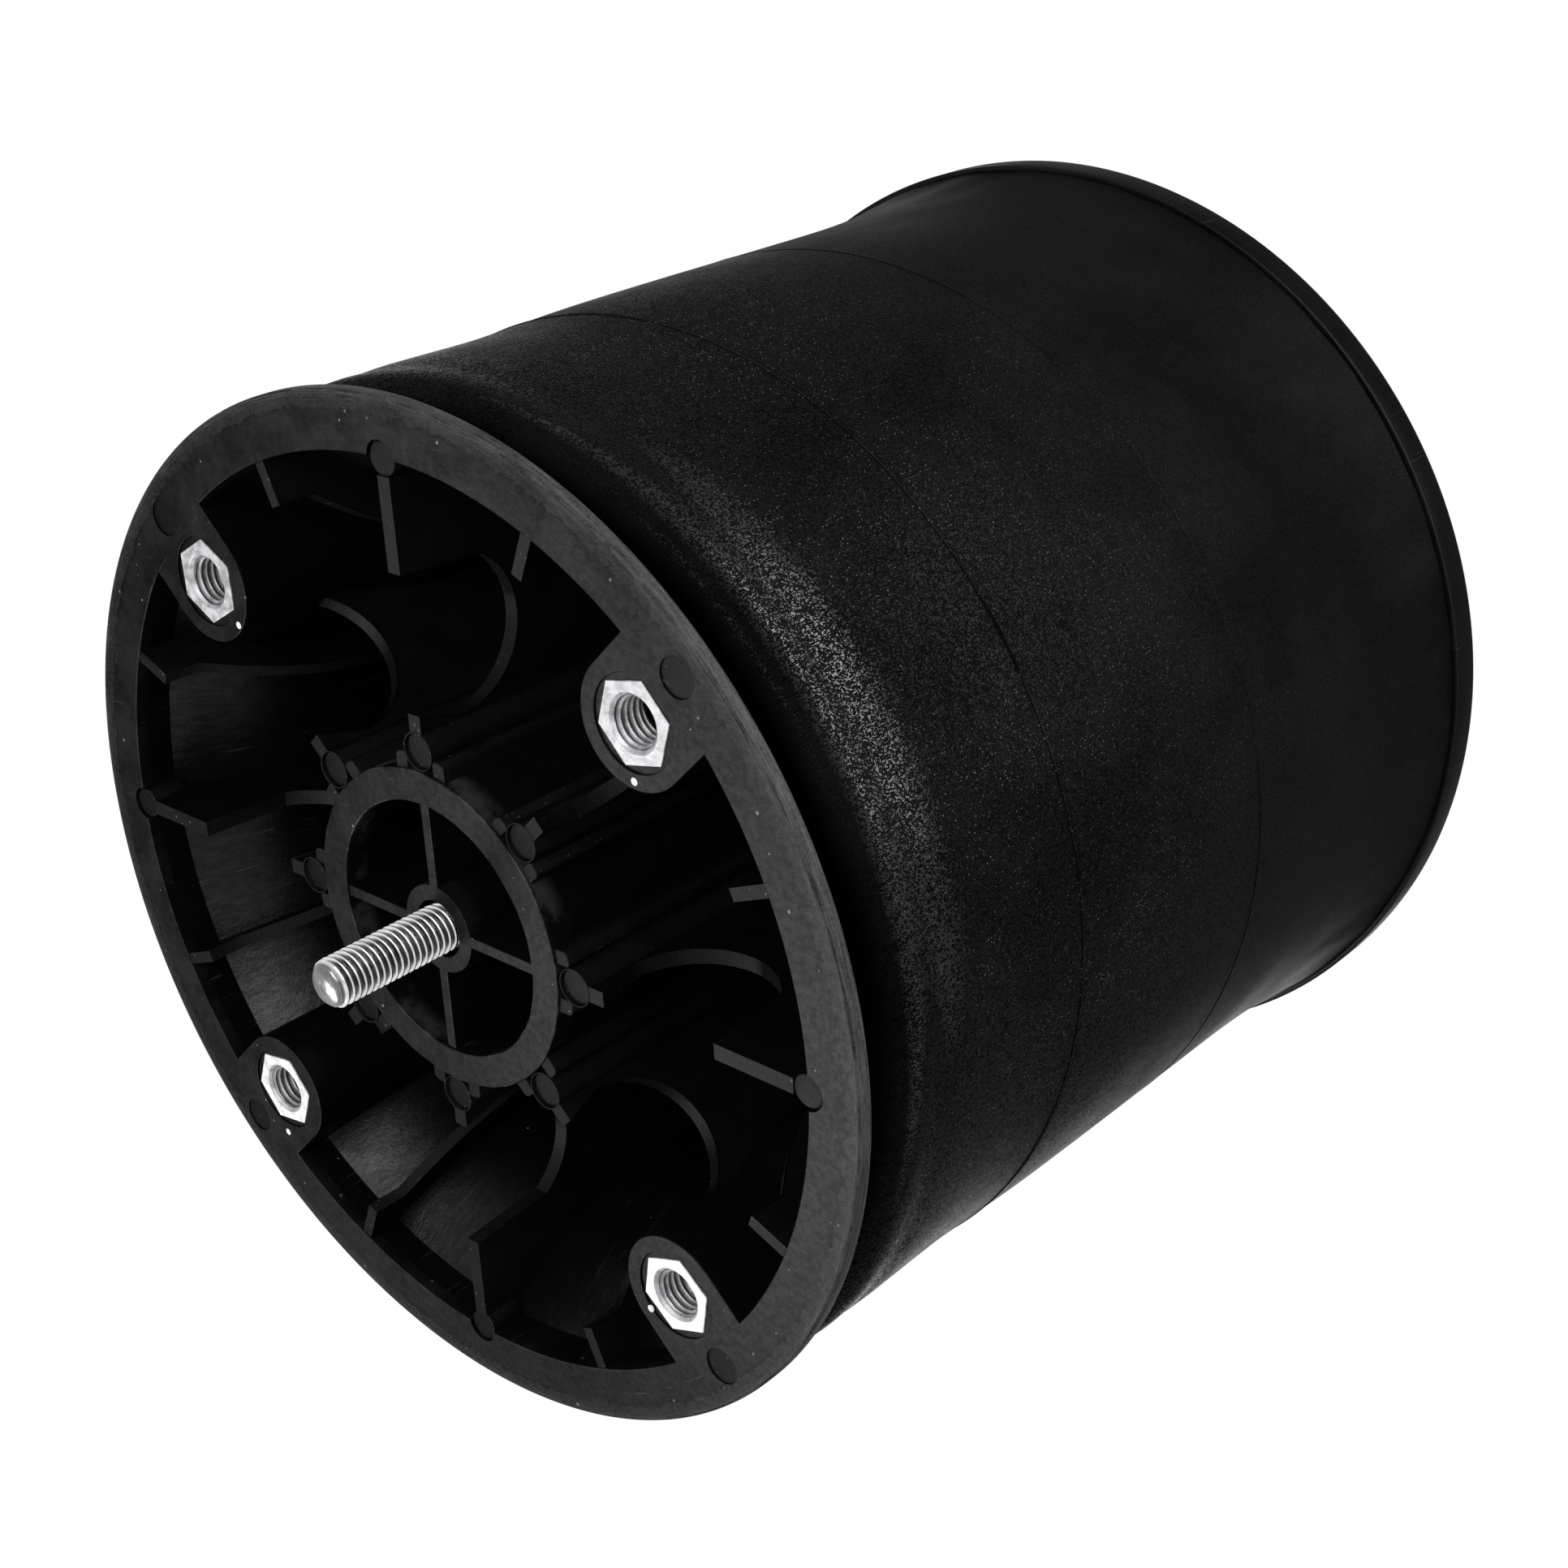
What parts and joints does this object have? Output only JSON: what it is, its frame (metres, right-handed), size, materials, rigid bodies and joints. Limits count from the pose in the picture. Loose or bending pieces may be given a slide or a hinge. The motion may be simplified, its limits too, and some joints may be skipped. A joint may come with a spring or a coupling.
{
  "type": "air suspension spring",
  "caption": "Rolling-lobe air suspension spring with rubber bellows, crimped steel top plate and a ribbed moulded piston with nuts and a central stud, shown collapsed",
  "frame": {"origin": "centre of the piston's base plane, where it sits on the axle bracket", "axes": "+Z along the spring axis to the top plate; the long base ribs lie on X and Y, the moulded-in nuts on the diagonals, and the air inlet is on +Y"},
  "size_m": [0.2606, 0.2606, 0.318],
  "materials": {
    "moulded_plastic": "moulded glass-filled plastic, black, lightly scuffed",
    "rubber": "black rubber, satin",
    "coated_steel": "black coated sheet steel",
    "zinc": "zinc plated steel",
    "brass": "machined brass"
  },
  "bodies": {
    "piston": {"piston": "moulded_plastic", "base_nut_1": "zinc", "base_nut_2": "zinc", "base_nut_3": "zinc", "base_nut_4": "zinc", "central_bolt": "zinc", "clamp_plate": "coated_steel", "bolt_seal_ring": "rubber", "bolt_washer": "zinc", "bump_stop_retainer": "coated_steel", "bump_stop": "rubber"},
    "lobe": {"bellows_sleeve": "rubber"},
    "top": {"top_plate": "coated_steel", "locating_pin": "zinc", "air_inlet": "brass", "inlet_seal_ring": "rubber", "top_stud_1": "zinc", "top_stud_2": "zinc", "top_stud_nut_1": "zinc", "top_stud_nut_2": "zinc"}
  },
  "joints": [
    {"name": "lobe_slide", "type": "slide", "parent": "piston", "child": "lobe", "axis": [0, 0, 1], "range_m": [0, 0.085], "deforming": ["bellows_sleeve"]},
    {"name": "top_slide", "type": "slide", "parent": "lobe", "child": "top", "axis": [0, 0, 1], "range_m": [0, 0.085]}
  ],
  "couplings": [
    {"joint": "lobe_slide", "follows": "top_slide", "ratio": 1}
  ]
}
